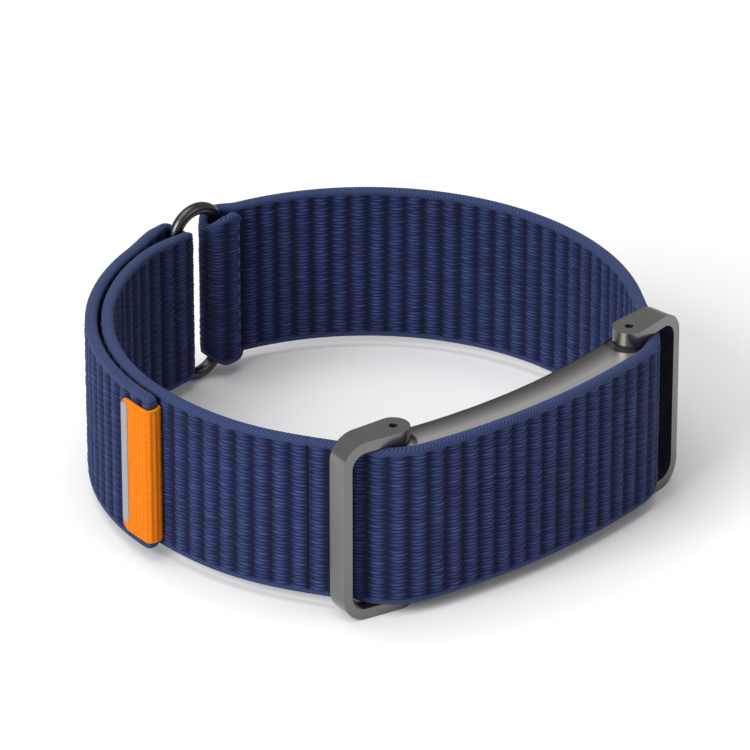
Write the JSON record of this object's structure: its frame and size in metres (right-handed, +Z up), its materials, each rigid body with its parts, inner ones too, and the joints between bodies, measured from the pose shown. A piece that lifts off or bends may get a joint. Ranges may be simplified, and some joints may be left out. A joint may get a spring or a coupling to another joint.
{
  "type": "fitness tracker band",
  "caption": "Wrist-worn activity tracker in a metal housing, held by swinging bows on a woven strap that closes with hook and loop through an oblong ring.",
  "frame": {"origin": "centre of the wrist opening, on the surface that the band stands on", "axes": "+Z up along the opening's axis, X along the tracker, -Y towards the tracker, +Y towards the keeper ring"},
  "size_m": [0.069, 0.0673, 0.0248],
  "materials": {
    "webbing": "ribbed woven nylon",
    "thread": "sewing thread",
    "hook_tape": "hook tape",
    "tab_webbing": "fine ribbed elastic webbing",
    "reflector": "matt reflective tape",
    "ring_metal": "smooth gunmetal coating",
    "bow_metal": "satin dark grey coating",
    "pin_steel": "ground",
    "washer_plastic": "matt",
    "housing_metal": "satin blasted",
    "cover_plastic": "fine matt texture",
    "seal_rubber": "soft",
    "screw_steel": "machined",
    "window_glass": "dark tinted",
    "shield_plastic": "matt",
    "led_lens": "clear",
    "diode_chip": "smooth",
    "board": "solder mask",
    "can_metal": "pressed sheet",
    "cell_foil": "foil pouch",
    "motor_steel": "drawn",
    "gold_plate": "gold plated"
  },
  "bodies": {
    "band": {"strap_main": "webbing", "strap_fixed_loop": "webbing", "strap_return": "webbing", "loop_stitching": "thread", "left_hinge_pin": "pin_steel", "right_hinge_pin": "pin_steel", "hinge_washers": "washer_plastic", "core_housing": "housing_metal", "back_cover": "cover_plastic", "cover_seal": "seal_rubber", "cover_screws": "screw_steel", "sensor_window": "window_glass", "light_shield": "shield_plastic", "leds": "led_lens", "photodiodes": "diode_chip", "sensor_board": "board", "main_board": "board", "shield_can": "can_metal", "battery": "cell_foil", "haptic_motor": "motor_steel", "antenna": "gold_plate", "charge_contacts": "gold_plate"},
    "left_bow": {"left_bow": "bow_metal"},
    "right_bow": {"right_bow": "bow_metal"},
    "ring": {"keeper_ring": "ring_metal"},
    "free_end": {"strap_free_end": "webbing", "hook_patch": "hook_tape", "pull_tab": "tab_webbing", "tab_stripe": "reflector"}
  },
  "joints": [
    {"name": "left_bow_swing", "type": "hinge", "parent": "band", "child": "left_bow", "pos_m": [-0.0184, -0.0259, 0.012], "axis": [0, 0, 1], "range_deg": [0, 80]},
    {"name": "right_bow_swing", "type": "hinge", "parent": "band", "child": "right_bow", "pos_m": [0.0196, -0.0259, 0.012], "axis": [0, 0, -1], "range_deg": [0, 80]},
    {"name": "ring_swing", "type": "hinge", "parent": "band", "child": "ring", "pos_m": [0.00355, 0.0326, 0.0124], "axis": [0, 0, 1], "range_deg": [-1.6, 1.6]},
    {"name": "free_end_peel", "type": "hinge", "parent": "band", "child": "free_end", "pos_m": [-0.02946, 0.01758, 0.012], "axis": [0, 0, -1], "range_deg": [0, 60]}
  ]
}
